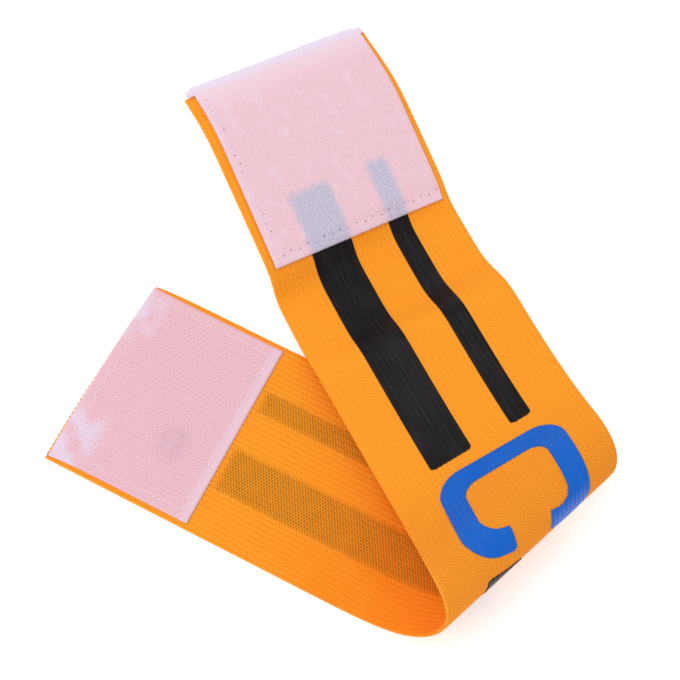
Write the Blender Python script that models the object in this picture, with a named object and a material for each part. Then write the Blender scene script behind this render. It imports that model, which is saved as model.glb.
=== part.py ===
"""Elastic captain armband with hook-and-loop ends, lying loosely folded over itself.

Every piece is cut out flat first. A flat place has three numbers: the distance along the
band from its hook end, the distance across from its centre line, and the height over the
middle of the webbing, which is positive on the inner face and negative on the outer one.
The resting shape is then rolled into the flat pieces, bend by bend, without stretch.
Units are metres, +Z is up, and the band's lower run lies flat with its inner face up.
"""

import math
from collections import namedtuple

import bmesh
import bpy
from mathutils import Matrix, Vector

# Driving dimensions of the flat armband
BAND_LENGTH = 0.3465
BAND_WIDTH = 0.065
BAND_THICKNESS = 0.0014
PATCH_THICKNESS = 0.0014
FILM_THICKNESS = 0.0003
GAP = 0.0003

HOOK_PATCH_LENGTH = 0.0477
HOOK_PATCH_WIDTH = 0.0618
LOOP_PATCH_LENGTH = 0.064
LOOP_PATCH_WIDTH = 0.060
LOOP_PATCH_OVERHANG = 0.0022

PRINT_MIDDLE = 0.1767
BROAD_BAR = 0.014
SLIM_BAR = 0.007
BARS_APART = 0.0135
BARS_START = 0.0236
BARS_END = 0.127

# The letter, which is pressed on a little turned and off the centre line
LETTER_HEIGHT = 0.0419
LETTER_DEPTH = 0.0367
LETTER_STROKE = 0.0072
LETTER_OUTER_CORNER = 0.009
LETTER_INNER_CORNER = 0.0053
LETTER_GAP = 0.0128
LETTER_ASIDE = 0.0008
LETTER_TURN = 2.3

# Where the band lies: the middle of its hook end, and its heading on the surface
HOOK_END_PLACE = (-0.0699, -0.0131)
HEADING = -27.5

# The resting shape. Each row is one bend: the distance along the band to its middle, the
# length of band that it takes up, the degrees that it turns towards the inner face, and
# the degrees that its axis leans from square across the band.
Bend = namedtuple("Bend", "at span turn lean")
BENDS = {
    "fold_rise": Bend(0.137, 0.075, 94, 20),
    "fold_crest": Bend(0.166, 0.039, 142, 18),
    "fold_back": Bend(0.199, 0.090, -60, 8),
    "crease": Bend(0.243, 0.016, 47, -4),
    "crease_foot": Bend(0.256, 0.020, -36, 8),
    "touchdown": Bend(0.279, 0.016, -62, 9),
    "patch_hump": Bend(0.285, 0.020, 39, 4),
    "end_droop": Bend(0.328, 0.029, 23.5, -6),
}

# Colour, roughness and metallic value of each material
Finish = namedtuple("Finish", "colour roughness metallic")
FINISHES = {
    "orange_webbing": Finish((0.94, 0.34, 0.02), 0.85, 0.0),
    "pink_felt": Finish((0.87, 0.56, 0.62), 0.95, 0.0),
    "pink_hook_tape": Finish((0.85, 0.50, 0.58), 0.7, 0.0),
    "black_print": Finish((0.02, 0.018, 0.02), 0.5, 0.0),
    "blue_print": Finish((0.015, 0.10, 0.55), 0.5, 0.0),
}

# How finely the pieces are faceted
ALONG_STEP = 0.0025
ACROSS_STEP = 0.0082
PRINT_STEP = 0.002
PRINT_ACROSS_STEP = 0.0036
PROFILE_STEPS = 48
CORNER_STEPS = 6
END_FADE = 0.012

for old in list(bpy.data.objects):
    bpy.data.objects.remove(old, do_unlink=True)
armband = bpy.data.collections.new("captain_armband")
bpy.context.scene.collection.children.link(armband)


def bend_profile(bend):
    """Angle, forward travel and rise at even steps through one bend.

    The curvature grows and fades as a raised cosine, so that a bend has no corners.
    """
    step = bend.span / PROFILE_STEPS
    rows = [(0.0, 0.0, 0.0)]
    for i in range(1, PROFILE_STEPS + 1):
        share = i / PROFILE_STEPS
        eased = share - math.sin(2 * math.pi * share) / (2 * math.pi)
        angle = math.radians(bend.turn) * eased
        middle = (angle + rows[-1][0]) / 2
        travel = rows[-1][1] + step * math.cos(middle)
        rise = rows[-1][2] + step * math.sin(middle)
        rows.append((angle, travel, rise))
    return rows


PROFILES = {name: bend_profile(bend) for name, bend in BENDS.items()}


def read_profile(rows, share):
    """The angle, forward travel and rise at a share from 0 to 1 of a bend."""
    place = share * PROFILE_STEPS
    low = min(int(place), PROFILE_STEPS - 1)
    return [a + (b - a) * (place - low) for a, b in zip(rows[low], rows[low + 1])]


def roll(along, across, height):
    """The resting place of a point of the flat armband, before it is laid down.

    The bends are put in from the far end back to the hook end. Each one turns all of the
    band that lies past it about its own leaning axis.
    """
    point = Vector((along, across, height))
    flat = Vector((along, across, 0.0))
    up = Vector((0.0, 0.0, 1.0))
    for name in reversed(BENDS):
        bend = BENDS[name]
        lean = math.radians(bend.lean)
        forward = Vector((math.cos(lean), -math.sin(lean), 0.0))
        start = Vector((bend.at, 0.0, 0.0)) - forward * bend.span / 2
        into = min(max((flat - start).dot(forward), 0.0), bend.span)
        angle, travel, rise = read_profile(PROFILES[name], into / bend.span)
        rest = point - start - forward * into
        ahead = rest.dot(forward)
        over = rest.dot(up)
        sideways = rest - forward * ahead - up * over
        turned_ahead = ahead * math.cos(angle) - over * math.sin(angle)
        turned_over = ahead * math.sin(angle) + over * math.cos(angle)
        point = start + sideways + forward * (travel + turned_ahead) + up * (rise + turned_over)
    return point


def lean_at(along):
    """Tangent of the bends' lean at a distance along the band, square at both ends."""
    knots = [(0.0, 0.0)]
    knots += [(bend.at, math.tan(math.radians(bend.lean))) for bend in BENDS.values()]
    knots += [(BAND_LENGTH, 0.0)]
    for (a, lean_a), (b, lean_b) in zip(knots, knots[1:]):
        if along <= b:
            return lean_a + (lean_b - lean_a) * (along - a) / (b - a)
    return 0.0


# The lower run's face prints touch the surface, so the webbing lies a film higher
LAY_DOWN = (
    Matrix.Translation((*HOOK_END_PLACE, FILM_THICKNESS + GAP + BAND_THICKNESS / 2))
    @ Matrix.Rotation(math.radians(HEADING), 4, "Z")
)


def material(name):
    finish = FINISHES[name]
    made = bpy.data.materials.new(name)
    made.use_nodes = True
    made.diffuse_color = (*finish.colour, 1.0)
    shader = made.node_tree.nodes["Principled BSDF"]
    shader.inputs["Base Color"].default_value = made.diffuse_color
    shader.inputs["Roughness"].default_value = finish.roughness
    shader.inputs["Metallic"].default_value = finish.metallic
    return made


def rolled_sheet(name, finish, columns, rows, flat_place, low, high):
    """A closed sheet between two heights, cut to shape by flat_place and then rolled.

    flat_place turns two shares from 0 to 1 into a distance along and across the band.
    """
    bm = bmesh.new()
    bmesh.ops.create_grid(bm, x_segments=columns, y_segments=rows, size=0.5)
    for vert in bm.verts:
        along, across = flat_place(vert.co.x + 0.5, vert.co.y + 0.5)
        vert.co = (along, across, low)
    grown = bmesh.ops.extrude_face_region(bm, geom=bm.faces[:])
    for item in grown["geom"]:
        if isinstance(item, bmesh.types.BMVert):
            item.co.z = high
    bmesh.ops.recalc_face_normals(bm, faces=bm.faces[:])
    for vert in bm.verts:
        vert.co = LAY_DOWN @ roll(*vert.co)
    mesh = bpy.data.meshes.new(name)
    bm.to_mesh(mesh)
    bm.free()
    mesh.shade_smooth()
    mesh.set_sharp_from_angle(angle=math.radians(40))
    mesh.materials.append(material(finish))
    made = bpy.data.objects.new(name, mesh)
    armband.objects.link(made)


def steps(length, step):
    return max(1, round(length / step))


def strip(name, finish, start, end, near, far, low, high):
    """A straight-cut piece whose facets lean with the bends, apart from its square ends."""

    def flat_place(u, w):
        along = start + (end - start) * u
        across = near + (far - near) * w
        from_end = min(along - start, end - along)
        return along + across * lean_at(along) * min(from_end / END_FADE, 1.0), across

    columns = steps(end - start, ALONG_STEP)
    rows = steps(far - near, ACROSS_STEP)
    rolled_sheet(name, finish, columns, rows, flat_place, low, high)


def print_bar(name, finish, start, end, centre, width, low, high):
    """A printed bar of even width, finely faceted because it is so thin."""

    def flat_place(u, w):
        return start + (end - start) * u, centre + width * (w - 0.5)

    columns = steps(end - start, PRINT_STEP)
    rows = steps(width, PRINT_ACROSS_STEP)
    rolled_sheet(name, finish, columns, rows, flat_place, low, high)


def letter_edge(inset, corner):
    """One edge of the letter's stroke, from tip to tip round its four corners.

    Edges at any inset have as many points, so that the stroke can be filled between them.
    """
    deep = LETTER_DEPTH / 2 - inset
    tall = LETTER_HEIGHT / 2 - inset
    tip_run = steps(LETTER_HEIGHT / 2 - LETTER_OUTER_CORNER - LETTER_GAP / 2, PRINT_STEP)
    deep_run = steps(LETTER_DEPTH - 2 * LETTER_OUTER_CORNER, PRINT_STEP)
    tall_run = steps(LETTER_HEIGHT - 2 * LETTER_OUTER_CORNER, PRINT_STEP)
    edge = [Vector((-deep, -LETTER_GAP / 2))]
    corners = [(-1, -1, tip_run), (1, -1, deep_run), (1, 1, tall_run), (-1, 1, deep_run)]
    for quarter, (end, side, run) in enumerate(corners):
        middle = Vector((end * (deep - corner), side * (tall - corner)))
        arc = []
        for i in range(CORNER_STEPS + 1):
            angle = math.pi + math.pi / 2 * (quarter + i / CORNER_STEPS)
            arc.append(middle + corner * Vector((math.cos(angle), math.sin(angle))))
        edge += straight_run(edge[-1], arc[0], run) + arc[1:]
    return edge + straight_run(edge[-1], Vector((-deep, LETTER_GAP / 2)), tip_run)


def straight_run(start, end, pieces):
    return [start.lerp(end, (i + 1) / pieces) for i in range(pieces)]


def print_letter(name, finish, centre, low, high):
    """The captain's letter in one stroke of even width, open towards the hook end."""
    outer_edge = letter_edge(0.0, LETTER_OUTER_CORNER)
    inner_edge = letter_edge(LETTER_STROKE, LETTER_INNER_CORNER)
    last = len(outer_edge) - 1
    turn = Matrix.Rotation(math.radians(LETTER_TURN), 2)

    def flat_place(u, w):
        i = round(u * last)
        return Vector((centre, LETTER_ASIDE)) + turn @ outer_edge[i].lerp(inner_edge[i], w)

    rows = steps(LETTER_STROKE, PRINT_STEP)
    rolled_sheet(name, finish, last, rows, flat_place, low, high)


# The band: one strip of woven elastic webbing
half_width = BAND_WIDTH / 2
inner_face = BAND_THICKNESS / 2
outer_face = -BAND_THICKNESS / 2
strip(
    "elastic_band", "orange_webbing",
    0.0, BAND_LENGTH, -half_width, half_width, outer_face, inner_face,
)

# The hook patch: sewn to the inner face at one end
hook_low = inner_face + GAP
hook_half = HOOK_PATCH_WIDTH / 2
strip(
    "hook_patch", "pink_hook_tape",
    0.0, HOOK_PATCH_LENGTH, -hook_half, hook_half, hook_low, hook_low + PATCH_THICKNESS,
)

# The loop patch: soft felt sewn to the outer face at the other end, and a little past it
loop_high = outer_face - GAP
loop_end = BAND_LENGTH + LOOP_PATCH_OVERHANG
loop_start = loop_end - LOOP_PATCH_LENGTH
loop_half = LOOP_PATCH_WIDTH / 2
strip(
    "loop_patch", "pink_felt",
    loop_start, loop_end, -loop_half, loop_half, loop_high - PATCH_THICKNESS, loop_high,
)

# The printed bars: a broad and a slim one on each side of the letter
film_high = outer_face - GAP
film_low = film_high - FILM_THICKNESS
bar_ends = {
    "hook_side": (PRINT_MIDDLE - BARS_END, PRINT_MIDDLE - BARS_START),
    "loop_side": (PRINT_MIDDLE + BARS_START, loop_start - GAP),
}
bars_width = BROAD_BAR + BARS_APART + SLIM_BAR
bar_widths = {
    "broad": (BROAD_BAR, (BROAD_BAR - bars_width) / 2),
    "slim": (SLIM_BAR, (bars_width - SLIM_BAR) / 2),
}
for side, (start, end) in bar_ends.items():
    for kind, (width, across) in bar_widths.items():
        print_bar(f"{side}_{kind}_bar", "black_print", start, end, across, width, film_low, film_high)

# The captain's letter: printed between the bars
print_letter("captain_letter", "blue_print", PRINT_MIDDLE, film_low, film_high)
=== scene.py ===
"""Looks of an elastic captain armband that lies loosely folded over itself.

Every piece is cut out flat and then rolled into the armband's resting shape. A flat place
has three numbers: the distance along the band from its hook end, the distance across from
its centre line, and the height over the middle of the webbing, which is positive on the
inner face and negative on the outer one. Units are metres.
"""

import math
from collections import namedtuple

import bmesh
import bpy
import numpy as np
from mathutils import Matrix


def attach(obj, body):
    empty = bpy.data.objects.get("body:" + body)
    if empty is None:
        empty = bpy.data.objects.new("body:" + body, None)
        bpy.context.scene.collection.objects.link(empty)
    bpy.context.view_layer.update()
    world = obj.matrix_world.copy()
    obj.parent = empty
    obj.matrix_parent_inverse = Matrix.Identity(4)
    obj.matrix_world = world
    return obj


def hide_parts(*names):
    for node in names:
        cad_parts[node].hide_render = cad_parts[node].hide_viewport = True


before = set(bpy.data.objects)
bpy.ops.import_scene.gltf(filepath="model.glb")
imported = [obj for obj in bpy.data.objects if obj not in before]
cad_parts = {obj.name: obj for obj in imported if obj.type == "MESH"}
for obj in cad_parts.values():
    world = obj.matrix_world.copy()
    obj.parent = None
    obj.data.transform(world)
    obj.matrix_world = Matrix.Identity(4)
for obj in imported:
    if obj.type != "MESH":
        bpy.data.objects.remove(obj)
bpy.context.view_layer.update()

# The band is one strip of elastic webbing, knitted in lengthwise ribs, with a plain selvage
# along each side and raw ends. Its lower run lies with the inner face up, and its upper run
# with the outer face up, over a tall loose fold.
BAND_LENGTH = 0.3465
BAND_WIDTH = 0.065
WEBBING_HALF = 0.0007
RIB = BAND_WIDTH / 40
RIB_DEPTH = 0.00008
KNIT_ROW = 0.000965
SELVAGE = 0.0016
EDGE_ROUND = 0.0007
EDGE_LEAST = 0.35
CUT_OVERRUN = 0.0006
CUT_SERRATION = 0.00018
HOOK_CUT_SLANT = 0.003
HOOK_CUT_BULGE = 0.0008
LOOP_CUT_SLANT = 0.0005
CUT_FADE = 40
END_NARROWING = 0.0012
END_TAPER = 0.006
BAND_COLUMNS = 250
BAND_ROWS = 160

# Each row is one bend: the distance along the band to its middle, the length of band that
# it takes up, the degrees that it turns towards the inner face, and the degrees that its
# axis leans from square across the band
Bend = namedtuple("Bend", "at span turn lean")
BENDS = {
    "fold_rise": Bend(0.137, 0.075, 94, 20),
    "fold_crest": Bend(0.166, 0.039, 142, 18),
    "fold_back": Bend(0.199, 0.090, -60, 8),
    "crease": Bend(0.243, 0.016, 47, -4),
    "crease_foot": Bend(0.256, 0.020, -36, 8),
    "touchdown": Bend(0.279, 0.016, -62, 9),
    "patch_hump": Bend(0.285, 0.020, 39, 4),
    "end_droop": Bend(0.328, 0.029, 23.5, -6),
}
BEND_STEPS = 48
HOOK_END_PLACE = (-0.0699, -0.0131, 0.0013)
HEADING = math.radians(-27.5)


def bend_curve(bend):
    """Even shares of a bend's length, and the angle, travel and rise reached at each."""
    share = np.linspace(0.0, 1.0, BEND_STEPS + 1)
    angle = math.radians(bend.turn) * (share - np.sin(2 * np.pi * share) / (2 * np.pi))
    middle = (angle[1:] + angle[:-1]) / 2
    step = bend.span / BEND_STEPS
    travel = np.append(0.0, np.cumsum(np.cos(middle)) * step)
    rise = np.append(0.0, np.cumsum(np.sin(middle)) * step)
    return share, angle, travel, rise


def roll(flat):
    """Where flat places come to rest. Each bend turns all of the band that lies past it."""
    up = np.array((0.0, 0.0, 1.0))
    plan = flat * (1.0, 1.0, 0.0)
    point = flat
    for bend in reversed(BENDS.values()):
        lean = math.radians(bend.lean)
        forward = np.array((math.cos(lean), -math.sin(lean), 0.0))
        start = np.array((bend.at, 0.0, 0.0)) - forward * bend.span / 2
        into = np.clip((plan - start) @ forward, 0.0, bend.span)
        share, angles, travels, rises = bend_curve(bend)
        angle = np.interp(into / bend.span, share, angles)
        travel = np.interp(into / bend.span, share, travels)
        rise = np.interp(into / bend.span, share, rises)
        rest = point - start - np.outer(into, forward)
        ahead = rest @ forward
        over = rest @ up
        sideways = rest - np.outer(ahead, forward) - np.outer(over, up)
        travel = travel + ahead * np.cos(angle) - over * np.sin(angle)
        rise = rise + ahead * np.sin(angle) + over * np.cos(angle)
        point = start + sideways + np.outer(travel, forward) + np.outer(rise, up)
    heading = np.array((
        (math.cos(HEADING), math.sin(HEADING), 0.0),
        (-math.sin(HEADING), math.cos(HEADING), 0.0),
        (0.0, 0.0, 1.0),
    ))
    return point @ heading + HOOK_END_PLACE


def lay_out(name, mesh, flat, *finishes):
    """Keeps each point's flat place as a UV map, rolls the piece and gives it its finishes."""
    corner = np.empty(len(mesh.loops), np.int32)
    mesh.loops.foreach_get("vertex_index", corner)
    mesh.uv_layers.new(name="flat_plan")
    places = flat[corner, :2].astype(np.float32).ravel()
    mesh.uv_layers["flat_plan"].uv.foreach_set("vector", places)
    mesh.vertices.foreach_set("co", roll(flat).astype(np.float32).ravel())
    mesh.shade_smooth()
    for finish in finishes:
        mesh.materials.append(finish)
    mesh.update()
    piece = bpy.data.objects.new(name, mesh)
    bpy.context.scene.collection.objects.link(piece)
    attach(piece, "root")
    return piece


def cut_sheet(name, columns, rows, place, under, top, *finishes):
    """A closed sheet between two faces, with the first finish on top and the last below.

    place turns shares along and across the sheet into a flat place, and under and top
    give the heights of the two faces there.
    """
    bm = bmesh.new()
    bmesh.ops.create_grid(bm, x_segments=columns, y_segments=rows, size=0.5)
    bmesh.ops.translate(bm, verts=bm.verts, vec=(0.5, 0.5, 0.0))
    grown = bmesh.ops.extrude_face_region(bm, geom=bm.faces[:])
    raised = [item for item in grown["geom"] if isinstance(item, bmesh.types.BMVert)]
    bmesh.ops.translate(bm, verts=raised, vec=(0.0, 0.0, 1.0))
    bmesh.ops.recalc_face_normals(bm, faces=bm.faces[:])
    for face in bm.faces:
        face.material_index = 0 if face.normal.z > 0.5 else len(finishes) - 1
    mesh = bpy.data.meshes.new(name)
    bm.to_mesh(mesh)
    bm.free()
    shares = np.empty(len(mesh.vertices) * 3, np.float32)
    mesh.vertices.foreach_get("co", shares)
    u, w, side = shares.astype(float).reshape(-1, 3).T
    along, across = place(u, w)
    height = np.where(side > 0.5, top(along, across), under(along, across))
    return lay_out(name, mesh, np.stack((along, across, height), axis=1), *finishes)


def webbing_face(along, across):
    """Height of the webbing's inner face: ribbed, with a plain selvage and a round edge."""
    from_edge = np.clip(BAND_WIDTH / 2 - np.abs(across), 0.0, None)
    ribs = RIB_DEPTH * np.cos(2 * np.pi * across / RIB)
    ribs = ribs * np.clip(from_edge / SELVAGE, 0.0, 1.0)
    round_off = np.sqrt(1 - (1 - np.clip(from_edge / EDGE_ROUND, 0.0, 1.0)) ** 2)
    return (WEBBING_HALF - RIB_DEPTH + ribs) * (EDGE_LEAST + (1 - EDGE_LEAST) * round_off)


def webbing_outer_face(along, across):
    return -webbing_face(along, across)


def dye(red, green, blue):
    """A colour from its usual values of 0 to 255."""
    linear = [(((c / 255) + 0.055) / 1.055) ** 2.4 for c in (red, green, blue)]
    return (*linear, 1.0)


# Patches of noise: their size and detail, and the levels where they start and are full
Mottle = namedtuple("Mottle", "size detail low high")


class Finish:
    """One material, built up node by node. Each method gives back an output to build on."""

    def __init__(self, name, **sockets):
        self.material = bpy.data.materials.new(name)
        self.material.use_nodes = True
        self.tree = self.material.node_tree
        self.shader = self.tree.nodes["Principled BSDF"]
        for socket, value in sockets.items():
            self.shader.inputs[socket.replace("_", " ")].default_value = value

    def feed(self, socket, value):
        if isinstance(value, bpy.types.NodeSocket):
            self.tree.links.new(value, socket)
        else:
            socket.default_value = value

    def node(self, kind, inputs, **settings):
        made = self.tree.nodes.new("ShaderNode" + kind)
        for key, value in settings.items():
            setattr(made, key, value)
        for key, value in inputs.items():
            self.feed(made.inputs[key], value)
        return made

    def flat_plan(self):
        """The distances along and across the band."""
        plan = self.node("UVMap", {}, uv_map="flat_plan").outputs["UV"]
        parts = self.node("SeparateXYZ", {"Vector": plan})
        return parts.outputs["X"], parts.outputs["Y"], plan

    def maths(self, operation, *values):
        return self.node("Math", dict(enumerate(values)), operation=operation).outputs[0]

    def times(self, value, factor):
        return self.maths("MULTIPLY", value, factor)

    def scaled(self, value, factor, added):
        return self.maths("MULTIPLY_ADD", value, factor, added)

    def wave(self, distance, pitch):
        return self.maths("COSINE", self.times(distance, 2 * math.pi / pitch))

    def step(self, low, high, value):
        """0 below low, 1 above high and smooth between them. It falls if low is above high."""
        sockets = {"Value": value, "From Min": low, "From Max": high}
        return self.node("MapRange", sockets, interpolation_type="SMOOTHSTEP").outputs[0]

    def stretch(self, value, low, high, soft):
        """1 where value is between low and high, with soft edges."""
        rising = self.step(low - soft, low + soft, value)
        falling = self.step(high + soft, high - soft, value)
        return self.times(rising, falling)

    def patch(self, along, across, reach_along, reach_across):
        """1 inside a stretch along and a stretch across."""
        return self.times(self.stretch(along, *reach_along), self.stretch(across, *reach_across))

    def noise(self, place, size, detail=2.0):
        sockets = {"Vector": place, "Scale": 1 / size, "Detail": detail}
        return self.node("TexNoise", sockets).outputs[0]

    def mottle(self, place, kind):
        return self.step(kind.low, kind.high, self.noise(place, kind.size, kind.detail))

    def tint(self, share, plain, tinted):
        made = self.node("Mix", {0: share, 6: plain, 7: tinted}, data_type="RGBA")
        return made.outputs[2]

    def done(self, colour, height):
        bump = self.node("Bump", {"Height": height, "Distance": 1.0, "Strength": 1.0})
        self.feed(self.shader.inputs["Base Color"], colour)
        self.feed(self.shader.inputs["Normal"], bump.outputs[0])
        return self.material


PRINT_MIDDLE = 0.1767
BROAD_BAR = 0.014
SLIM_BAR = 0.007
BARS_APART = 0.0135
BARS_START = 0.0236
BARS_END = 0.127
BARS_ALONG = {
    "hook_side": (PRINT_MIDDLE - BARS_END, PRINT_MIDDLE - BARS_START),
    "loop_side": (PRINT_MIDDLE + BARS_START, PRINT_MIDDLE + BARS_END),
}
BARS_ACROSS = {
    "broad": (BROAD_BAR, -(BARS_APART + SLIM_BAR) / 2),
    "slim": (SLIM_BAR, (BROAD_BAR + BARS_APART) / 2),
}
ORANGE = dye(246, 154, 39)
ORANGE_HOLE = dye(186, 86, 10)
# Painted shade in the grooves between the ribs
ORANGE_GROOVE_SHADE = dye(234, 124, 20)
# Painted shade for the crest of the fold and its nose
ORANGE_CREST_SHADE = dye(216, 132, 38)
# Painted warm bounce light inside the fold
FOLD_BOUNCE_ORANGE = dye(252, 116, 12)
# Painted highlight on the selvage where it stands on edge round the fold
SELVAGE_HIGHLIGHT = dye(253, 176, 78)
CUT_BROWN = dye(190, 128, 66)
OLIVE_SHADOW = dye(114, 80, 14)

# Stretches along the band. A third number is how softly the stretch starts and ends
CREST = (0.145, 0.19, 0.025)
TURNED_UP = (0.147, 0.165, 0.01)
NOSE = (0.145, 0.159)
FOLD_BOUNCE_REACH = (0.05, 0.13)
BROWNED_END = (0.0004, -0.0002)
NOSE_SOFT = 0.008
NOSE_SLANT = math.tan(math.radians(19))


def round_nose(cloth, along, across, soft):
    """Where the outer face turns down over the fold, whose crest leans across the band."""
    squared = cloth.scaled(across, -NOSE_SLANT, along)
    return cloth.stretch(squared, *NOSE, soft)


# Levels of the ribs and the knit at which a hole, a groove or a rib's end begins and is full
HOLE_LEVELS = (0.3, 0.95)
GROOVE_LEVELS = (0.3, -0.9)
RIB_END_LEVELS = (0.2, -0.8)


def knit_parts(cloth):
    """The ribs, the dark holes between their stitches, and the painted shade of the grooves."""
    along, across, plan = cloth.flat_plan()
    ribs = cloth.wave(across, RIB)
    knit = cloth.times(ribs, cloth.wave(along, KNIT_ROW))
    holes = cloth.step(*HOLE_LEVELS, knit)
    return along, across, plan, knit, holes, cloth.step(*GROOVE_LEVELS, ribs)


UNEVEN_SIZE = 0.012
UNEVEN_SHARE = 0.8
EVEN_SHARE = 0.6
HIGHLIGHT_RIM = (BAND_WIDTH / 2 - 0.0009, BAND_WIDTH / 2 - 0.0002)
RIM_HIGHLIGHT_SHARE = 0.3
FRAYED = Mottle(0.002, 2.0, 0.4, 0.6)


def webbing_colour(cloth, along, across, plan, shades):
    """Orange yarn with darker shades, each given as a mask, a share and a colour.

    The selvage gets a painted highlight where it is turned up on edge round the fold, and the
    cut end is browned.
    """
    colour = ORANGE
    uneven = cloth.scaled(cloth.noise(plan, UNEVEN_SIZE), UNEVEN_SHARE, EVEN_SHARE)
    for mask, share, shade in shades:
        strength = cloth.times(cloth.times(mask, share), uneven)
        colour = cloth.tint(strength, colour, shade)
    # Painted highlight on the selvage, only where it is turned up round the fold
    rim = cloth.step(*HIGHLIGHT_RIM, cloth.maths("ABSOLUTE", across))
    turned_up = cloth.times(cloth.stretch(along, *TURNED_UP), RIM_HIGHLIGHT_SHARE)
    colour = cloth.tint(cloth.times(rim, turned_up), colour, SELVAGE_HIGHLIGHT)
    rib_ends = cloth.step(*RIB_END_LEVELS, cloth.wave(across, RIB))
    browned = cloth.times(cloth.step(*BROWNED_END, along), rib_ends)
    return cloth.tint(cloth.times(browned, cloth.mottle(plan, FRAYED)), colour, CUT_BROWN)


YARN_SIZE = 0.0003
YARN_RELIEF = 0.00003
HOLE_DEPTH = 0.00008


def webbing_relief(cloth, plan, holes):
    yarn = cloth.times(cloth.noise(plan, YARN_SIZE), YARN_RELIEF)
    return cloth.scaled(holes, -HOLE_DEPTH, yarn)


SHOWN_FLAT = 0.2
OPENED_MORE = 0.45
SHADED_MORE = 0.6


def outer_webbing():
    """The holes open where the webbing is stretched round the crest of the fold. Painted shade
    darkens the crest, the nose and the grooves on the nose.
    """
    cloth = Finish("webbing_outer_face", Roughness=0.9, Specular_IOR_Level=0.15)
    along, across, plan, _, holes, grooves = knit_parts(cloth)
    crest = cloth.stretch(along, *CREST)
    nose = round_nose(cloth, along, across, NOSE_SOFT)
    opened = cloth.scaled(crest, OPENED_MORE, SHOWN_FLAT)
    shaded = cloth.scaled(nose, SHADED_MORE, SHOWN_FLAT)
    # Painted shade on the crest and the nose, and more painted shade in the grooves on the nose
    shades = [
        (crest, 0.45, ORANGE_CREST_SHADE), (nose, 0.35, ORANGE_CREST_SHADE),
        (holes, opened, ORANGE_HOLE), (grooves, shaded, ORANGE_GROOVE_SHADE),
    ]
    colour = webbing_colour(cloth, along, across, plan, shades)
    return cloth.done(colour, webbing_relief(cloth, plan, holes))


MESH_LEVELS = (-0.6, 0.7)
MESH_LEAST = 0.12
DENSE = Mottle(0.005, 2.0, 0.3, 0.7)
DENSE_SHARE = 0.16
DENSE_LEAST = 0.5
RAGGED_SIZE = 0.0012
RAGGED_REACH = 0.002
SHOWN_SOFT_ALONG = 0.0016
SHOWN_SOFT_ACROSS = 0.0011


def inner_webbing():
    """Deeper orange inside the fold, which is painted bounce light. The bars on the far face
    show through as a dim mesh.
    """
    cloth = Finish("webbing_inner_face", Roughness=0.9, Specular_IOR_Level=0.15)
    along, across, plan, knit, holes, grooves = knit_parts(cloth)
    fold_bounce = cloth.step(*FOLD_BOUNCE_REACH, along)
    # Painted bounce light inside the fold, and painted shade in the grooves
    shades = [
        (fold_bounce, 0.6, FOLD_BOUNCE_ORANGE), (grooves, 0.34, ORANGE_GROOVE_SHADE), (holes, 0.24, ORANGE_HOLE),
    ]
    colour = webbing_colour(cloth, along, across, plan, shades)
    dense = cloth.scaled(cloth.mottle(plan, DENSE), DENSE_SHARE, DENSE_LEAST)
    mesh = cloth.scaled(cloth.step(*MESH_LEVELS, knit), dense, MESH_LEAST)
    ragged = cloth.scaled(cloth.noise(plan, RAGGED_SIZE), RAGGED_REACH, -RAGGED_REACH / 2)
    ragged_along = cloth.maths("ADD", along, ragged)
    ragged_across = cloth.maths("ADD", across, ragged)
    for start, end in BARS_ALONG.values():
        for width, centre in BARS_ACROSS.values():
            reach_along = (start, end, SHOWN_SOFT_ALONG)
            reach_across = (centre - width / 2, centre + width / 2, SHOWN_SOFT_ACROSS)
            shown = cloth.patch(ragged_along, ragged_across, reach_along, reach_across)
            colour = cloth.tint(cloth.times(shown, mesh), colour, OLIVE_SHADOW)
    return cloth.done(colour, webbing_relief(cloth, plan, holes))


def bow(share):
    """0 at both ends and 1 in the middle."""
    return 4 * share * (1 - share)


def by_start(u):
    """1 at a sheet's first cut. It fades out over a fortieth of the sheet's length."""
    return np.clip(1 - u * CUT_FADE, 0.0, 1.0)


def by_end(u):
    return np.clip(u * CUT_FADE - (CUT_FADE - 1), 0.0, 1.0)


def band_place(u, w):
    """The band's outline. Its ends are cut a little slanting, and the hook seam draws in the
    far side. Each rib ends in a tooth at the hook end's cut."""
    across = BAND_WIDTH * (w - 0.5)
    tooth = CUT_SERRATION * np.cos(2 * np.pi * across / RIB)
    cut = CUT_OVERRUN - HOOK_CUT_SLANT * w + HOOK_CUT_BULGE * bow(w)
    hook_end = (tooth + cut) * by_start(u)
    loop_end = LOOP_CUT_SLANT * (2 * w - 2) * by_end(u)
    along = BAND_LENGTH * u - hook_end + loop_end
    drawn_in = END_NARROWING * np.exp(-np.clip(along, 0.0, None) / END_TAPER)
    return along, across - drawn_in * np.clip(2 * w - 1, 0.0, 1.0)


webbing = cut_sheet(
    "ribbed_webbing", BAND_COLUMNS, BAND_ROWS, band_place,
    webbing_outer_face, webbing_face, inner_webbing(), outer_webbing(),
)
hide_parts("elastic_band")

# The hook patch is a square of woven nylon tape, sewn to the inner face at one end. The
# tape's plain borders lie along the band's cut end and along the patch's inner end.
HOOK_PATCH_LENGTH = 0.0477
HOOK_PATCH_WIDTH = 0.0618
HOOK_TAPE_THICKNESS = 0.0006
LIFT = 0.00006
TAPE_EDGE = 0.0003
TAPE_EDGE_LEAST = 0.4
HOOK_SEAM_INSET = 0.0029
SEAM_SINK = 0.00012
SEAM_WIDTH = 0.0009
TAPE_WEAVE = 0.000785
TAPE_BORDER = 0.0034
TAPE_WIDER = 0.0007
TAPE_SLANT = 0.0018
TAPE_BULGE = 0.0007
TAPE_COLUMNS = 94
TAPE_ROWS = 124


def soft_step(value):
    value = np.clip(value, 0.0, 1.0)
    return value * value * (3 - 2 * value)


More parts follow.
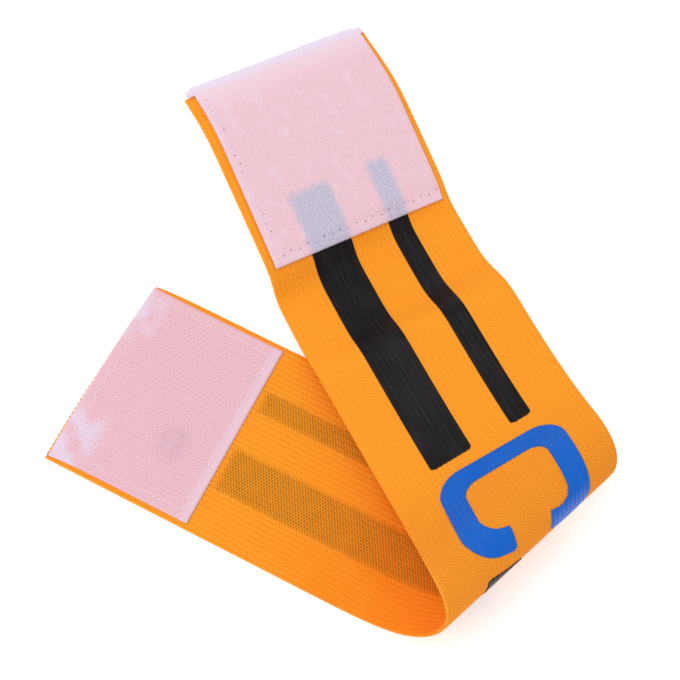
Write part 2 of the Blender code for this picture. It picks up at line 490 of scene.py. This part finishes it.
def inset(along, across, start, end, near, far):
    """Distance in from the nearest edge of a square-cut patch."""
    ends = np.minimum(along - start, end - along)
    sides = np.minimum(across - near, far - across)
    return np.minimum(ends, sides)


def tape_sides(along):
    """How far the tape reaches across. It widens a little towards the band's end."""
    wider = TAPE_WIDER * np.exp(-along / END_TAPER)
    return -HOOK_PATCH_WIDTH / 2 - wider, (HOOK_PATCH_WIDTH + wider) / 2


def tape_cut(share):
    """How far in from the band's end the tape is cut, slanting and a little bulged."""
    return TAPE_SLANT * share - TAPE_BULGE * bow(share)


def tape_top(along, across):
    near, far = tape_sides(along)
    cut = tape_cut((across - near) / (far - near))
    from_edge = inset(along, across, cut, HOOK_PATCH_LENGTH, near, far)
    sunk = SEAM_SINK * np.exp(-(((from_edge - HOOK_SEAM_INSET) / SEAM_WIDTH) ** 2))
    edge = soft_step(TAPE_EDGE_LEAST + from_edge / TAPE_EDGE)
    return WEBBING_HALF + LIFT + HOOK_TAPE_THICKNESS * edge - sunk


def tape_under(along, across):
    return np.full_like(along, WEBBING_HALF + LIFT)


HOOK_PINK = dye(233, 192, 201)
HOOK_PINK_DEEP = dye(218, 171, 182)
LILAC = dye(224, 208, 228)
GREY_SMUDGE = dye(202, 164, 180)
WARP_SHARE = 0.7
WEAVE_LEVELS = (-1.4, 1.4)
WEAVE_RELIEF = 0.00002
WORN_WEAVE = Mottle(0.004, 2.0, 0.3, 0.6)
PALE_INNER_END = (HOOK_PATCH_LENGTH - 0.0045, HOOK_PATCH_LENGTH - 0.0005)
PALE_OUTER_END = (0.0012, 0.0001)
PALE_END_SHARE = 0.4

# Each soft patch is a stretch along and one across, with how softly they start and end
LILAC_PATCHES = [
    ((-0.002, 0.008, 0.003), (0.014, 0.034, 0.004)),
    ((-0.002, 0.011, 0.003), (-0.034, -0.014, 0.004)),
]
LILAC_CLOUDS = Mottle(0.008, 0.5, 0.34, 0.56)
LILAC_SHARE = 0.75
SMUDGE = ((0.028, 0.036, 0.004), (-0.016, -0.006, 0.005))
SMUDGE_CLOUDS = Mottle(0.003, 2.0, 0.1, 0.9)


def hook_tape_finish():
    """Pale pink tape in a fine weave, a little paler along its borders and in soft patches."""
    tape = Finish("hook_tape_pink", Roughness=0.75, Specular_IOR_Level=0.2)
    along, across, plan = tape.flat_plan()
    weft = tape.times(tape.wave(along, TAPE_WEAVE * 2), tape.wave(across, TAPE_WEAVE * 2))
    weave = tape.scaled(tape.wave(across, TAPE_WEAVE), WARP_SHARE, weft)
    worn = tape.times(weave, tape.mottle(plan, WORN_WEAVE))
    colour = tape.tint(tape.step(*WEAVE_LEVELS, worn), HOOK_PINK_DEEP, HOOK_PINK)
    inner_end = tape.step(*PALE_INNER_END, along)
    outer_end = tape.step(*PALE_OUTER_END, along)
    pale = tape.scaled(inner_end, PALE_END_SHARE, tape.times(outer_end, PALE_END_SHARE))
    clouds = tape.times(tape.mottle(plan, LILAC_CLOUDS), LILAC_SHARE)
    for reaches in LILAC_PATCHES:
        patch = tape.patch(along, across, *reaches)
        pale = tape.maths("MAXIMUM", pale, tape.times(patch, clouds))
    colour = tape.tint(pale, colour, LILAC)
    smudge = tape.patch(along, across, *SMUDGE)
    dimmed = tape.times(smudge, tape.mottle(plan, SMUDGE_CLOUDS))
    colour = tape.tint(dimmed, colour, GREY_SMUDGE)
    return tape.done(colour, tape.times(weave, WEAVE_RELIEF))


def hook_tape_place(u, w):
    """The tape's outline. Only its end by the band's cut is cut slanting."""
    along = HOOK_PATCH_LENGTH * u + tape_cut(w) * (1 - u)
    near, far = tape_sides(along)
    return along, near + (far - near) * w


hook_tape = cut_sheet(
    "hook_tape", TAPE_COLUMNS, TAPE_ROWS, hook_tape_place, tape_under, tape_top,
    hook_tape_finish(),
)
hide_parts("hook_patch")

# The hooks are bent stubs of stiff nylon line that stand out of the tape in rows. Each row
# is shifted by half a step from the next, and the tips of neighbouring rows face apart.
HOOK_WIRE = 0.00014
HOOK_HEIGHT = 0.0006
HOOK_REACH = 0.00045
HOOK_STEP = 0.00163
HOOK_ROW_STEP = 0.00157
HOOK_SIDE_MARGIN = 0.0012
HOOK_ROOT = 0.0001
HOOK_TIP_DROOP = 0.0001
HOOK_TURN_POINTS = 7
HOOK_SIDES = 4


def bent_line(name, runs, thickness, sides):
    """Round lines, each through one run of flat places, with the given number of sides."""
    line = bpy.data.curves.new(name, "CURVE")
    line.dimensions = "3D"
    line.bevel_depth = thickness / 2
    line.bevel_resolution = sides // 2 - 2
    line.use_fill_caps = True
    for run in runs:
        spline = line.splines.new("POLY")
        spline.points.add(len(run) - 1)
        spline.points.foreach_set("co", np.column_stack((run, np.ones(len(run)))).ravel())
    return bpy.data.objects.new(name, line)


def as_mesh(piece, name):
    """The piece's mesh with its modifiers applied, in place of the piece."""
    bpy.context.scene.collection.objects.link(piece)
    shaped = piece.evaluated_get(bpy.context.evaluated_depsgraph_get())
    mesh = bpy.data.meshes.new_from_object(shaped)
    mesh.name = name
    bpy.data.objects.remove(piece)
    return mesh


def places_of(mesh):
    co = np.empty(len(mesh.vertices) * 3, np.float32)
    mesh.vertices.foreach_get("co", co)
    return co.astype(float).reshape(-1, 3)


def hook_run(foot_along, foot_across, facing):
    """One hook: a straight stem, then half a turn over to its tip."""
    turn = np.linspace(0.0, 1.0, HOOK_TURN_POINTS)
    radius = HOOK_REACH / 2
    stem = HOOK_HEIGHT - radius
    along = np.append(0.0, facing * radius * (1 - np.cos(np.pi * turn)))
    arch = stem + radius * np.sin(np.pi * turn) - HOOK_TIP_DROOP * turn**2
    up = np.append(-HOOK_ROOT, arch)
    return np.stack((foot_along + along, np.full(len(up), foot_across), up), axis=1)


def hook_field():
    """All hooks, spread from one pair of neighbouring hooks."""
    foot = WEBBING_HALF + LIFT + HOOK_TAPE_THICKNESS
    pair = [hook_run(0.0, 0.0, 1), hook_run(HOOK_STEP / 2 + HOOK_REACH, HOOK_ROW_STEP, -1)]
    field = bent_line("hooks_laid_flat", pair, HOOK_WIRE, HOOK_SIDES)
    along_room = HOOK_PATCH_LENGTH - 2 * TAPE_BORDER - HOOK_STEP
    across_room = HOOK_PATCH_WIDTH - 2 * HOOK_SIDE_MARGIN - HOOK_ROW_STEP
    counts = (int(along_room / HOOK_STEP) + 1, int(across_room / HOOK_ROW_STEP / 2) + 1)
    steps = ((HOOK_STEP, 0.0, 0.0), (0.0, 2 * HOOK_ROW_STEP, 0.0))
    for count, step in zip(counts, steps):
        spread = field.modifiers.new("rows", "ARRAY")
        spread.use_relative_offset = False
        spread.use_constant_offset = True
        spread.constant_offset_displace = step
        spread.count = count
    mesh = as_mesh(field, "hook_rows")
    flat = places_of(mesh)
    flat[:, 0] += TAPE_BORDER
    flat[:, 1] += HOOK_SIDE_MARGIN - HOOK_PATCH_WIDTH / 2
    flat[:, 2] += foot
    return mesh, flat


HOOK_NYLON = dye(250, 224, 231)
HOOK_NYLON_DEEP = dye(242, 206, 216)
NYLON_GRAIN = 0.0008
NYLON_LEVELS = (0.35, 0.65)
NYLON_RELIEF = 0.00001


def hook_nylon_finish():
    nylon = Finish("hook_nylon", Roughness=0.45, Specular_IOR_Level=0.4)
    _, _, plan = nylon.flat_plan()
    grain = nylon.noise(plan, NYLON_GRAIN)
    colour = nylon.tint(nylon.step(*NYLON_LEVELS, grain), HOOK_NYLON_DEEP, HOOK_NYLON)
    return nylon.done(colour, nylon.times(grain, NYLON_RELIEF))


hook_mesh, hook_flat = hook_field()
hooks = lay_out("hook_rows", hook_mesh, hook_flat, hook_nylon_finish())

# The loop patch is a rectangle of soft brushed felt, sewn to the outer face at the other
# end. It reaches past the band's cut end, where its edge is fused flat and a little wider,
# and the bars' ends show through it.
LOOP_PATCH_LENGTH = 0.064
LOOP_PATCH_WIDTH = 0.060
LOOP_PATCH_OVERHANG = 0.0022
FELT_THICKNESS = 0.0008
FELT_EDGE = 0.0006
FELT_SEAM_INSET = 0.0031
FUSED_END = 0.0032
FUSED_WIDER = 0.0024
FUSED_SHORTER = 0.0011
FUSED_SHOULDER = 0.0005
FUSED_BULGE = 0.0006
FUSED_BULGE_ACROSS = 0.015
FUSED_BULGE_WIDTH = 0.013
FUSED_WAVE = 0.00012
NEAR_CORNER = 0.0006
NEAR_CORNER_SOFT = 0.0008
FAR_CORNER = 0.003
FAR_CORNER_SOFT = 0.005
FELT_ASKEW = 0.0009
FELT_EDGE_LEAST = 0.3
FELT_SLOPE = 0.001
FUSED_THINNER = 0.3
FELT_COLUMNS = 150
FELT_ROWS = 122
LOOP_END = BAND_LENGTH + LOOP_PATCH_OVERHANG
LOOP_START = LOOP_END - LOOP_PATCH_LENGTH
LOOP_HALF = LOOP_PATCH_WIDTH / 2


def felt_sides(along):
    """How far the felt reaches across on the near and the far side. It is a little askew."""
    fused = soft_step((along - LOOP_END + FUSED_END) / FUSED_SHOULDER + 0.5)
    aside = FELT_ASKEW * (along - LOOP_START) / LOOP_PATCH_LENGTH
    near = aside - LOOP_HALF - FUSED_WIDER * fused
    far = aside + LOOP_HALF + FUSED_WIDER / 2 * fused
    return near, far


def felt_place(u, w):
    """The felt's outline. Its fused end is a little wavy and falls short at both corners."""
    along = LOOP_START + LOOP_PATCH_LENGTH * u
    near, far = felt_sides(along)
    across = near + (far - near) * w
    near_corner = soft_step((-LOOP_HALF + NEAR_CORNER - across) / NEAR_CORNER_SOFT)
    far_corner = soft_step((across - LOOP_HALF + FAR_CORNER) / FAR_CORNER_SOFT)
    wave = FUSED_WAVE * (np.sin(across * 900) + np.sin(across * 2100 + 1.0))
    from_bulge = (across - FUSED_BULGE_ACROSS) / FUSED_BULGE_WIDTH
    bulge = FUSED_BULGE * np.exp(-(from_bulge ** 2))
    short = FUSED_SHORTER * (near_corner + far_corner) + wave - bulge
    return along - short * by_end(u), across


def felt_face(along, across):
    near, far = felt_sides(along)
    from_edge = inset(along, across, LOOP_START, LOOP_END, near, far)
    in_from_edge = np.clip(FELT_EDGE_LEAST + from_edge / FELT_EDGE, 0.0, 1.0)
    edge = np.sqrt(1 - (1 - in_from_edge) ** 2)
    sunk = SEAM_SINK * np.exp(-(((from_edge - FELT_SEAM_INSET) / SEAM_WIDTH) ** 2))
    fused = soft_step((along - LOOP_END + FUSED_END) / FELT_SLOPE + 0.5)
    thickness = FELT_THICKNESS * edge * (1 - FUSED_THINNER * fused)
    return -WEBBING_HALF - LIFT - thickness + sunk


def felt_back(along, across):
    return np.full_like(along, -WEBBING_HALF - LIFT)


FELT_STITCH = 0.0029
FELT_SWING = 0.00035
FELT_PINK = dye(232, 196, 205)
FELT_PINK_DEEP = dye(226, 186, 196)
FELT_SPECK = dye(214, 188, 203)
# Paler pink for matted patches, and for painted sheen
FELT_MATTED_AND_SHEEN = dye(232, 210, 224)
FELT_FUSED = dye(226, 216, 234)
FELT_SHADOW = dye(170, 172, 196)
FELT_SHADOW_PALE = dye(196, 194, 213)
NEEDLE_HOLE = dye(120, 104, 122)
HOLE_AT_TURN = (0.95, 0.995)
HOLE_SIZE = (0.00034, 0.0001)


def needle_holes(felt, across_seam, along_seam):
    """Small dark holes, in turn to one side and to the other of a seam."""
    swing = felt.wave(along_seam, 2 * FELT_STITCH)
    off = felt.maths("ABSOLUTE", felt.scaled(swing, -FELT_SWING, across_seam))
    at_turn = felt.step(*HOLE_AT_TURN, felt.maths("ABSOLUTE", swing))
    return felt.times(at_turn, felt.step(*HOLE_SIZE, off))


FIBRE_SIZE = 0.0006
FIBRE_DETAIL = 4.0
FIBRE_LEVELS = (0.35, 0.65)
FIBRE_RELIEF = 0.00007
CLUMP_SIZE = 0.0022
CLUMP_DETAIL = 3.0
CLUMP_RELIEF = 0.00012
SPECKS = Mottle(0.0009, 1.0, 0.56, 0.74)
SPECK_SHARE = 0.6
MATTED = Mottle(0.005, 3.0, 0.52, 0.72)
MATTED_SHARE = 0.4
# Where painted sheen whitens the felt: by its far end, its near side and its start
SHEEN_BY_END = (LOOP_END - 0.014, LOOP_END - 0.003)
SHEEN_BY_SIDE = (0.0045 - LOOP_HALF, 0.0015 - LOOP_HALF)
SHEEN_BY_START = (LOOP_START + 0.004, LOOP_START + 0.001)
SHEEN_EDGE_SHARE = 0.5
FELT_SHEEN_SHARE = 0.6
LOOP_BARS_END = BARS_ALONG["loop_side"][1]
SHADOW_LEVELS = (0.38, 0.62)
SHADOW_REACH = (LOOP_BARS_END + 0.002, LOOP_BARS_END - 0.0016)
SHADOW_RAGGED = 0.0022
SHADOW_SOFT = 0.0013
SHADOW_SHARE = 0.85
FUSED_PALE = (LOOP_END - FUSED_END - 0.0012, LOOP_END - 0.0008)
FUSED_SHARE = 0.85
INSIDE_NEAR_SEAM = (-0.0008, -0.0004)
SIDE_SEAM = (LOOP_START + FELT_SEAM_INSET, LOOP_END - 0.006, 0.0004)
SIDE_HOLES = Mottle(0.006, 2.0, 0.45, 0.65)
OPEN_HOLES = Mottle(0.004, 2.0, 0.35, 0.6)
OPEN_SHARE = 0.6
CLOSED_SHARE = 0.12
NEEDLE_DEPTH = 0.0002


def felt_finish():
    """Pink felt with matted fibres, whiter by its edges with painted sheen, dimmed where the
    print is under it.
    """
    felt = Finish("felt_pink", Roughness=0.95, Specular_IOR_Level=0.1, Sheen_Weight=0.05)
    along, across, plan = felt.flat_plan()
    fibres = felt.noise(plan, FIBRE_SIZE, FIBRE_DETAIL)
    clumps = felt.noise(plan, CLUMP_SIZE, CLUMP_DETAIL)
    colour = felt.tint(felt.step(*FIBRE_LEVELS, fibres), FELT_PINK_DEEP, FELT_PINK)
    colour = felt.tint(felt.times(felt.mottle(plan, SPECKS), SPECK_SHARE), colour, FELT_SPECK)
    colour = felt.tint(felt.times(felt.mottle(plan, MATTED), MATTED_SHARE), colour, FELT_MATTED_AND_SHEEN)
    # Painted sheen, strongest by the far end and fainter by the near side and the start
    side = felt.step(*SHEEN_BY_SIDE, across)
    edge = felt.maths("MAXIMUM", side, felt.step(*SHEEN_BY_START, along))
    edges = felt.times(edge, SHEEN_EDGE_SHARE)
    pale = felt.maths("MAXIMUM", felt.step(*SHEEN_BY_END, along), edges)
    colour = felt.tint(felt.times(pale, FELT_SHEEN_SHARE), colour, FELT_MATTED_AND_SHEEN)

    mottled = felt.tint(felt.step(*SHADOW_LEVELS, fibres), FELT_SHADOW, FELT_SHADOW_PALE)
    ragged = felt.scaled(clumps, SHADOW_RAGGED, -SHADOW_RAGGED / 2)
    ragged_across = felt.maths("ADD", across, ragged)
    reach = felt.step(*SHADOW_REACH, felt.maths("ADD", along, ragged))
    for width, centre in BARS_ACROSS.values():
        near, far = centre - width / 2, centre + width / 2
        shown = felt.times(felt.stretch(ragged_across, near, far, SHADOW_SOFT), reach)
        colour = felt.tint(felt.times(shown, SHADOW_SHARE), colour, mottled)
    fused = felt.step(*FUSED_PALE, along)
    colour = felt.tint(felt.times(fused, FUSED_SHARE), colour, FELT_FUSED)

    from_start = felt.maths("SUBTRACT", along, LOOP_START + FELT_SEAM_INSET)
    from_near = felt.maths("SUBTRACT", across, FELT_SEAM_INSET - LOOP_HALF)
    inside = felt.step(*INSIDE_NEAR_SEAM, from_near)
    start_holes = felt.times(needle_holes(felt, from_start, across), inside)
    side_seam = felt.times(felt.stretch(along, *SIDE_SEAM), felt.mottle(plan, SIDE_HOLES))
    side_holes = felt.times(needle_holes(felt, from_near, along), side_seam)
    holes = felt.maths("MAXIMUM", start_holes, side_holes)
    open_holes = felt.scaled(felt.mottle(plan, OPEN_HOLES), OPEN_SHARE, CLOSED_SHARE)
    colour = felt.tint(felt.times(holes, open_holes), colour, NEEDLE_HOLE)
    nap = felt.scaled(clumps, CLUMP_RELIEF, felt.times(fibres, FIBRE_RELIEF))
    return felt.done(colour, felt.scaled(holes, -NEEDLE_DEPTH, nap))


felt = cut_sheet(
    "brushed_felt", FELT_COLUMNS, FELT_ROWS, felt_place, felt_face, felt_back, felt_finish(),
)
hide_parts("loop_patch")

# Both patches are sewn on with white polyester thread in a zig-zag lockstitch. Each stitch
# dips into a needle hole at both ends, and the bobbin's side shows on the band's other face.
THREAD = 0.0003
THREAD_SIDES = 6
STITCH_POINTS = 6
STITCH_ROUND = 0.6
HOOK_STITCH = 0.0029
HOOK_SWING = 0.0004
TAPE_STAND = 0.00012
FELT_STAND = -0.00014
BOBBIN_STAND = 0.00006


def seam_corners(start, end, half, seam_inset, slant):
    """The corners of a seam round a patch, from its first one back to it."""
    first, last = start + seam_inset, end - seam_inset
    side = half - seam_inset
    return [(first, -side), (last, -side), (last, side), (first + slant, side), (first, -side)]


def seam_run(corners, stitch, swing, face, outward, stand):
    """The thread's flat places round a seam, on a face of the given height."""
    run = []
    turn = 1
    for start, end in zip(corners, corners[1:]):
        start, end = np.array(start), np.array(end)
        length = np.linalg.norm(end - start)
        ahead = (end - start) / length
        aside = np.array((-ahead[1], ahead[0]))
        count = round(length / stitch)
        for i in range(count):
            share = np.arange(STITCH_POINTS)[:, None] / STITCH_POINTS
            place = start + ahead * length * (i + share) / count
            place = place + aside * swing * turn * (1 - 2 * share)
            arch = np.sin(np.pi * share[:, 0]) ** STITCH_ROUND
            rise = (stand + THREAD) * arch - THREAD
            height = face(place[:, 0], place[:, 1]) + outward * rise
            run.append(np.column_stack((place, height)))
            turn = -turn
    return np.vstack(run)


THREAD_WHITE = dye(246, 232, 240)
THREAD_GREY = dye(228, 208, 222)
THREAD_TWIST = 0.0004
PLY_LEVELS = (-1.0, 0.4)
PLY_RELIEF = 0.00002


def thread_finish():
    """White thread with the slant of its twisted plies."""
    thread = Finish("white_thread", Roughness=0.6, Specular_IOR_Level=0.3)
    along, across, _ = thread.flat_plan()
    plies = thread.wave(thread.maths("ADD", along, across), THREAD_TWIST)
    colour = thread.tint(thread.step(*PLY_LEVELS, plies), THREAD_GREY, THREAD_WHITE)
    return thread.done(colour, thread.times(plies, PLY_RELIEF))


hook_seam = seam_corners(
    0.0, HOOK_PATCH_LENGTH, HOOK_PATCH_WIDTH / 2, HOOK_SEAM_INSET, TAPE_SLANT,
)
loop_seam = seam_corners(
    LOOP_START, LOOP_END - LOOP_PATCH_OVERHANG, LOOP_HALF, FELT_SEAM_INSET, 0.0,
)

# Each row is a seam's corners, its stitch length and swing, the face that it lies on, the
# side that it stands out on, and how far it stands out
HOOK_SEWN = (hook_seam, HOOK_STITCH, HOOK_SWING)
LOOP_SEWN = (loop_seam, FELT_STITCH, FELT_SWING)
SEAMS = {
    "hook_patch_stitches": (*HOOK_SEWN, tape_top, 1, TAPE_STAND),
    "hook_patch_bobbin_stitches": (*HOOK_SEWN, webbing_outer_face, -1, BOBBIN_STAND),
    "loop_patch_stitches": (*LOOP_SEWN, felt_face, -1, FELT_STAND),
    "loop_patch_bobbin_stitches": (*LOOP_SEWN, webbing_face, 1, BOBBIN_STAND),
}
white_thread = thread_finish()
for name, seam in SEAMS.items():
    line = bent_line(name + "_laid_flat", [seam_run(*seam)], THREAD, THREAD_SIDES)
    mesh = as_mesh(line, name)
    lay_out(name, mesh, places_of(mesh), white_thread)

# The bars are black film, heat-pressed onto the outer face on both sides of the letter. The
# film is thin enough to follow the ribs a little, and its corners are cut a little round.
FILM_CLEAR = 0.00004
FILM_THICKNESS = 0.0001
FILM_FOLLOWS = 0.5
FILM_CORNER = 0.0011
FILM_STEP = 0.0014
FILM_ROWS_A_RIB = 4
FILM_GRAIN = 0.0006
FILM_GRAIN_DETAIL = 3.0
GRAIN_LEVELS = (0.45, 0.75)
GRAIN_SHARE = 0.2
GRAIN_RELIEF = 0.000015
DULLED = Mottle(0.011, 2.0, 0.4, 0.8)
DULLED_SHARE = 0.3
# Lengthwise streaks of painted sheen
SHEEN_STREAKS = Mottle(0.0009, 1.0, 0.5, 0.72)
SHEEN_STREAK_SHARE = 0.35
DRAWN_OUT = (0.05, 1.0, 1.0)
# The painted highlight on the ribs over the nose: its levels, softness and share
RIB_HIGHLIGHT_LEVELS = (-0.2, 1.0)
RIB_HIGHLIGHT_SOFT = 0.0035
RIB_HIGHLIGHT_SHARE = 0.55
RIB_RELIEF = 0.00001


def film_finish(name, colour, worn, rib_highlight):
    """Dulled in clouds, with painted sheen in lengthwise streaks and a painted highlight on the
    ribs over the fold's nose.
    """
    film = Finish(name, Roughness=0.45, Specular_IOR_Level=0.14)
    along, across, plan = film.flat_plan()
    grain = film.noise(plan, FILM_GRAIN, FILM_GRAIN_DETAIL)
    drawn_out = film.node("Mapping", {"Vector": plan, "Scale": DRAWN_OUT}).outputs[0]
    wear_and_sheen = film.times(film.step(*GRAIN_LEVELS, grain), GRAIN_SHARE)
    wear_and_sheen = film.scaled(film.mottle(plan, DULLED), DULLED_SHARE, wear_and_sheen)
    # Painted sheen in lengthwise streaks, added on top of the worn clouds and grain
    wear_and_sheen = film.scaled(film.mottle(drawn_out, SHEEN_STREAKS), SHEEN_STREAK_SHARE, wear_and_sheen)
    ribs = film.wave(across, RIB)
    # Painted highlight on the ribs where the film turns over the fold's nose
    on_nose = round_nose(film, along, across, RIB_HIGHLIGHT_SOFT)
    ridges = film.times(film.step(*RIB_HIGHLIGHT_LEVELS, ribs), on_nose)
    plain = film.tint(wear_and_sheen, colour, worn)
    highlighted = film.tint(film.times(ridges, RIB_HIGHLIGHT_SHARE), plain, rib_highlight)
    return film.done(highlighted, film.scaled(grain, GRAIN_RELIEF, film.times(ribs, RIB_RELIEF)))


def film_under(along, across):
    """The film bridges the grooves, so it follows the ribs only in part."""
    ribs = FILM_FOLLOWS * RIB_DEPTH * (1 - np.cos(2 * np.pi * across / RIB))
    return -WEBBING_HALF - FILM_CLEAR + ribs


def film_top(along, across):
    return film_under(along, across) - FILM_THICKNESS


def corner_cut(from_end):
    """How far the film's rounded corners draw in its sides, at a distance from its end."""
    inside = np.clip(from_end, 0.0, FILM_CORNER)
    return FILM_CORNER - np.sqrt(FILM_CORNER**2 - (FILM_CORNER - inside) ** 2)


def bar_place(start, end, shown_end, width, centre):
    """A bar's outline as far as it shows: the loop side bars run on under the felt."""
    def place(u, w):
        along = start + (shown_end - start) * u
        cut = corner_cut(np.minimum(along - start, end - along))
        return along, centre + (width - 2 * cut) * (w - 0.5)

    return place


# Black film, its worn tone that also carries painted sheen, and its painted rib highlight
BLACK = dye(11, 8, 9)
BLACK_WORN_AND_SHEEN = dye(42, 37, 43)
BLACK_RIB_HIGHLIGHT = dye(84, 72, 80)
black_film = film_finish("black_film", BLACK, BLACK_WORN_AND_SHEEN, BLACK_RIB_HIGHLIGHT)
for side, (start, end) in BARS_ALONG.items():
    for kind, (width, centre) in BARS_ACROSS.items():
        shown_end = min(end, LOOP_START - LIFT)
        columns = round((shown_end - start) / FILM_STEP) * 2
        rows = round(width / RIB * FILM_ROWS_A_RIB)
        outline = bar_place(start, end, shown_end, width, centre)
        bar = cut_sheet(
            f"{side}_{kind}_film", columns, rows, outline, film_top, film_under, black_film,
        )
        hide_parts(f"{side}_{kind}_bar")

# The captain's letter is one stroke of blue film, pressed on between the bars with its open
# side towards the hook end, so that it wraps round the fold.
LETTER_HEIGHT = 0.0419
LETTER_DEPTH = 0.0367
LETTER_STROKE = 0.0072
LETTER_OUTER_CORNER = 0.009
LETTER_INNER_CORNER = 0.0053
LETTER_GAP = 0.0128
LETTER_ASIDE = 0.0008
LETTER_TURN = math.radians(2.3)
CORNER_STEPS = 14
LETTER_ROWS = 20

# Each row is the side of the letter that a corner is on, along and across, and the number
# of steps in the straight run before it
LETTER_CORNERS = [((-1, -1), 7), ((1, -1), 23), ((1, 1), 30), ((-1, 1), 23)]
LETTER_TIP_STEPS = 7
LETTER_TIP_STEP = 0.0008


def letter_edge(drawn_in, corner):
    """One edge of the stroke, from tip to tip, with as many points however far drawn in."""
    half = np.array((LETTER_DEPTH, LETTER_HEIGHT)) / 2 - drawn_in
    edge = [np.array([(-half[0], -LETTER_GAP / 2)])]
    for quarter, (side, steps) in enumerate(LETTER_CORNERS):
        angle = math.pi / 2 * (2 + quarter + np.arange(CORNER_STEPS + 1) / CORNER_STEPS)
        arc = (half - corner) * side + corner * np.column_stack((np.cos(angle), np.sin(angle)))
        edge += [np.linspace(edge[-1][-1], arc[0], steps + 1)[1:], arc[1:]]
    last_tip = (-half[0], LETTER_GAP / 2)
    edge.append(np.linspace(edge[-1][-1], last_tip, LETTER_TIP_STEPS + 1)[1:])
    return np.vstack(edge)


OUTER_EDGE = letter_edge(0.0, LETTER_OUTER_CORNER)
INNER_EDGE = letter_edge(LETTER_STROKE, LETTER_INNER_CORNER)
LETTER_STEPS = len(OUTER_EDGE) - 1


def letter_place(u, w):
    step = np.round(u * LETTER_STEPS).astype(int)
    cut = corner_cut(np.minimum(step, LETTER_STEPS - step) * LETTER_TIP_STEP)
    share = 0.5 + (w - 0.5) * (1 - 2 * cut / LETTER_STROKE)
    x, y = (OUTER_EDGE[step] + (INNER_EDGE - OUTER_EDGE)[step] * share[:, None]).T
    along = x * math.cos(LETTER_TURN) - y * math.sin(LETTER_TURN)
    across = x * math.sin(LETTER_TURN) + y * math.cos(LETTER_TURN)
    return PRINT_MIDDLE + along, LETTER_ASIDE + across


# Blue film, its worn tone that also carries painted sheen, and its painted rib highlight
BLUE = dye(6, 92, 190)
BLUE_WORN_AND_SHEEN = dye(40, 100, 186)
BLUE_RIB_HIGHLIGHT = dye(132, 140, 192)
letter = cut_sheet(
    "letter_film", LETTER_STEPS, LETTER_ROWS, letter_place,
    film_top, film_under, film_finish("blue_film", BLUE, BLUE_WORN_AND_SHEEN, BLUE_RIB_HIGHLIGHT),
)
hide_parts("captain_letter")

# The armband lies on a plain pale floor under soft studio light, and the camera looks
# steeply down on it, as a photographer does over a table.
FLOOR_REACH = 4.0
FLOOR_WHITE = dye(253, 253, 254)
FLOOR_GLOW = dye(255, 255, 255)
FLOOR_GLOW_STRENGTH = 0.3

floor_mesh = bpy.data.meshes.new("floor")
bm = bmesh.new()
bmesh.ops.create_grid(bm, x_segments=1, y_segments=1, size=FLOOR_REACH)
bm.to_mesh(floor_mesh)
bm.free()
floor_finish = Finish("pale_floor", Roughness=0.9, Specular_IOR_Level=0.1)
floor_finish.feed(floor_finish.shader.inputs["Base Color"], FLOOR_WHITE)
floor_finish.feed(floor_finish.shader.inputs["Emission Color"], FLOOR_GLOW)
floor_finish.feed(floor_finish.shader.inputs["Emission Strength"], FLOOR_GLOW_STRENGTH)
floor_mesh.materials.append(floor_finish.material)
floor = bpy.data.objects.new("floor", floor_mesh)
bpy.context.scene.collection.objects.link(floor)

STUDIO_WHITE = (1.0, 1.0, 1.0, 1.0)
STUDIO_STRENGTH = 0.88
world = bpy.data.worlds.new("studio")
world.use_nodes = True
world.node_tree.nodes["Background"].inputs["Color"].default_value = STUDIO_WHITE
world.node_tree.nodes["Background"].inputs["Strength"].default_value = STUDIO_STRENGTH
bpy.context.scene.world = world
bpy.context.scene.view_settings.view_transform = "Standard"

SOFTBOX_WIDTH = 1.1
SOFTBOX_POWER = 4.2
SOFTBOX_PLACE = (-0.42, 0.02, 1.05)
SOFTBOX_TURN = (math.radians(-1), math.radians(-22), 0.0)
lamp = bpy.data.lights.new("overhead_softbox", "AREA")
lamp.shape = "DISK"
lamp.size = SOFTBOX_WIDTH
lamp.energy = SOFTBOX_POWER
softbox = bpy.data.objects.new("overhead_softbox", lamp)
softbox.location = SOFTBOX_PLACE
softbox.rotation_euler = SOFTBOX_TURN
bpy.context.scene.collection.objects.link(softbox)

LOOKS_AT = np.array((0.0042, -0.0035, 0.0013))
CAMERA_DISTANCE = 0.620
CAMERA_ELEVATION = math.radians(70)
LENS = 105.7
FILM_GATE = 36.0
camera_data = bpy.data.cameras.new("camera")
camera_data.lens = LENS
camera_data.sensor_width = FILM_GATE
camera = bpy.data.objects.new("camera", camera_data)
away = np.array((0.0, -math.cos(CAMERA_ELEVATION), math.sin(CAMERA_ELEVATION)))
camera.location = LOOKS_AT + away * CAMERA_DISTANCE
camera.rotation_euler = (math.pi / 2 - CAMERA_ELEVATION, 0.0, 0.0)
bpy.context.scene.collection.objects.link(camera)
bpy.context.scene.camera = camera
